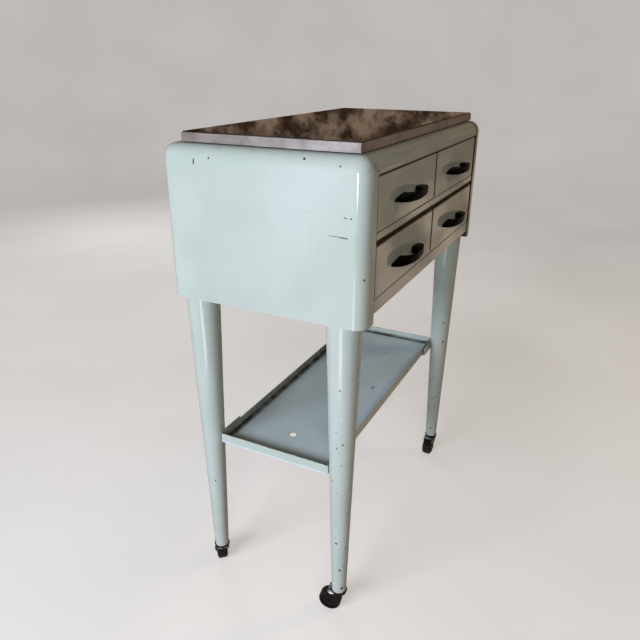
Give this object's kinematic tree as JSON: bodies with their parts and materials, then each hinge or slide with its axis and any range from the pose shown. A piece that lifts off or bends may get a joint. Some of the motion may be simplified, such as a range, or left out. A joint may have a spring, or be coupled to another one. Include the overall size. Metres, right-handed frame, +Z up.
{
  "type": "rolling salon trolley",
  "caption": "Enamelled steel salon trolley: cabinet with two rows of paired drawers, black glass top, tapered legs, lower tray shelf and swivel casters.",
  "frame": {"origin": "on the floor, under the middle of the whole object with its handles", "axes": "+Z up, -Y out of the drawer fronts, +X along the cabinet to the right-hand end seen from the front"},
  "size_m": [0.5916, 0.3452, 0.8],
  "materials": {
    "cabinet_enamel": "glossy pale duck-egg enamel, lightly chipped",
    "leg_enamel": "glossy pale duck-egg enamel, chipped near the floor",
    "drawer_enamel": "glossy pale duck-egg enamel",
    "inner_enamel": "thin duck-egg enamel",
    "tray_enamel": "worn duck-egg enamel",
    "bare_steel": "plain rolled steel",
    "screw_steel": "zinc plated",
    "handle_black": "glossy black",
    "aluminium_trim": "satin",
    "black_glass": "polished black glass, opaque",
    "board_wood": "plain board",
    "caster_plastic": "black moulded",
    "caster_metal": "blackened steel with bright worn edges",
    "axle_steel": "zinc plated",
    "wheel_rubber": "black"
  },
  "bodies": {
    "root": {"end_panel_left": "cabinet_enamel", "end_panel_right": "cabinet_enamel", "top_panel": "cabinet_enamel", "back_panel": "cabinet_enamel", "bottom_panel": "cabinet_enamel", "front_mid_rail": "cabinet_enamel", "front_bottom_rail": "cabinet_enamel", "front_post_left": "cabinet_enamel", "front_post_right": "cabinet_enamel", "centre_divider": "inner_enamel", "drawer_runners_upper": "bare_steel", "drawer_runners_lower": "bare_steel", "top_board": "board_wood", "glass_top": "black_glass", "trim_front": "aluminium_trim", "trim_back": "aluminium_trim", "trim_left": "aluminium_trim", "trim_right": "aluminium_trim", "leg_mounting_plates": "bare_steel", "leg_nuts": "bare_steel", "shelf_tray": "tray_enamel", "shelf_brackets": "tray_enamel", "leg_front_left": "leg_enamel", "leg_front_right": "leg_enamel", "leg_back_left": "leg_enamel", "leg_back_right": "leg_enamel", "caster_cup_front_left": "caster_plastic", "caster_cup_front_right": "caster_plastic", "caster_cup_back_left": "caster_plastic", "caster_cup_back_right": "caster_plastic"},
    "drawer_upper_left": {"drawer_front_upper_left": "drawer_enamel", "drawer_box_upper_left": "inner_enamel", "handle_upper_left": "handle_black", "handle_screws_upper_left": "screw_steel"},
    "drawer_upper_right": {"drawer_front_upper_right": "drawer_enamel", "drawer_box_upper_right": "inner_enamel", "handle_upper_right": "handle_black", "handle_screws_upper_right": "screw_steel"},
    "drawer_lower_left": {"drawer_front_lower_left": "drawer_enamel", "drawer_box_lower_left": "inner_enamel", "handle_lower_left": "handle_black", "handle_screws_lower_left": "screw_steel"},
    "drawer_lower_right": {"drawer_front_lower_right": "drawer_enamel", "drawer_box_lower_right": "inner_enamel", "handle_lower_right": "handle_black", "handle_screws_lower_right": "screw_steel"},
    "caster_swivel_front_left": {"caster_fork_front_left": "caster_metal", "caster_axle_front_left": "axle_steel"},
    "caster_wheel_front_left": {"caster_wheel_front_left": "wheel_rubber"},
    "caster_swivel_front_right": {"caster_fork_front_right": "caster_metal", "caster_axle_front_right": "axle_steel"},
    "caster_wheel_front_right": {"caster_wheel_front_right": "wheel_rubber"},
    "caster_swivel_back_left": {"caster_fork_back_left": "caster_metal", "caster_axle_back_left": "axle_steel"},
    "caster_wheel_back_left": {"caster_wheel_back_left": "wheel_rubber"},
    "caster_swivel_back_right": {"caster_fork_back_right": "caster_metal", "caster_axle_back_right": "axle_steel"},
    "caster_wheel_back_right": {"caster_wheel_back_right": "wheel_rubber"}
  },
  "joints": [
    {"name": "drawer_upper_left_slide", "type": "slide", "parent": "root", "child": "drawer_upper_left", "axis": [0, -1, 0], "range_m": [0, 0.2]},
    {"name": "drawer_upper_right_slide", "type": "slide", "parent": "root", "child": "drawer_upper_right", "axis": [0, -1, 0], "range_m": [0, 0.2]},
    {"name": "drawer_lower_left_slide", "type": "slide", "parent": "root", "child": "drawer_lower_left", "axis": [0, -1, 0], "range_m": [0, 0.2]},
    {"name": "drawer_lower_right_slide", "type": "slide", "parent": "root", "child": "drawer_lower_right", "axis": [0, -1, 0], "range_m": [0, 0.2]},
    {"name": "swivel_front_left", "type": "hinge", "parent": "root", "child": "caster_swivel_front_left", "pos_m": [-0.2692, -0.11385, 0.0425], "axis": [0, 0, 1], "continuous": true},
    {"name": "wheel_spin_front_left", "type": "hinge", "parent": "caster_swivel_front_left", "child": "caster_wheel_front_left", "pos_m": [-0.27103, -0.09896, 0.0195], "axis": [-0.9925, -0.1219, 0], "continuous": true},
    {"name": "swivel_front_right", "type": "hinge", "parent": "root", "child": "caster_swivel_front_right", "pos_m": [0.2692, -0.11385, 0.0425], "axis": [0, 0, 1], "continuous": true},
    {"name": "wheel_spin_front_right", "type": "hinge", "parent": "caster_swivel_front_right", "child": "caster_wheel_front_right", "pos_m": [0.25421, -0.11333, 0.0195], "axis": [-0.0349, -0.9994, 0], "continuous": true},
    {"name": "swivel_back_left", "type": "hinge", "parent": "root", "child": "caster_swivel_back_left", "pos_m": [-0.2692, 0.13215, 0.0425], "axis": [0, 0, 1], "continuous": true},
    {"name": "wheel_spin_back_left", "type": "hinge", "parent": "caster_swivel_back_left", "child": "caster_wheel_back_left", "pos_m": [-0.25859, 0.14276, 0.0195], "axis": [-0.7071, 0.7071, 0], "continuous": true},
    {"name": "swivel_back_right", "type": "hinge", "parent": "root", "child": "caster_swivel_back_right", "pos_m": [0.2692, 0.13215, 0.0425], "axis": [0, 0, 1], "continuous": true},
    {"name": "wheel_spin_back_right", "type": "hinge", "parent": "caster_swivel_back_right", "child": "caster_wheel_back_right", "pos_m": [0.25621, 0.13965, 0.0195], "axis": [-0.5, -0.866, 0], "continuous": true}
  ]
}
